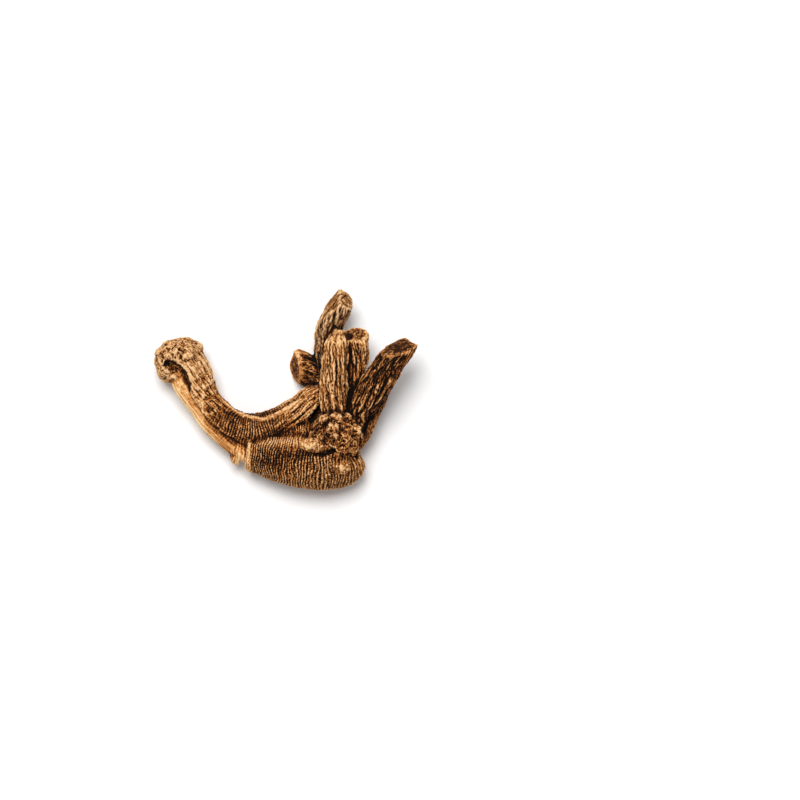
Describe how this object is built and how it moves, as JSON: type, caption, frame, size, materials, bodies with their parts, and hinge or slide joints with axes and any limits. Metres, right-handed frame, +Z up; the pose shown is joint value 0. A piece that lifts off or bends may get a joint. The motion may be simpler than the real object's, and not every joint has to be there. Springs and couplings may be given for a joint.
{
  "type": "dried gentian root",
  "caption": "Dried gentian root: a ringed rhizome with a curved arm ending in a knobbly head, and cut-off roots growing out of its warty crown. It lies on the ground.",
  "frame": {"origin": "centre of the bounding box, at its bottom, on the ground that the root lies on", "axes": "+X from the knobbly head towards the cut roots, +Y from the ringed rhizome towards the cut ends of the roots, +Z up"},
  "size_m": [0.1318, 0.1018, 0.0322],
  "materials": {
    "bark": "matte, wrinkled brown bark with tan ridges and dark creases"
  },
  "bodies": {
    "root": {"gentian_root": "bark"}
  },
  "joints": []
}
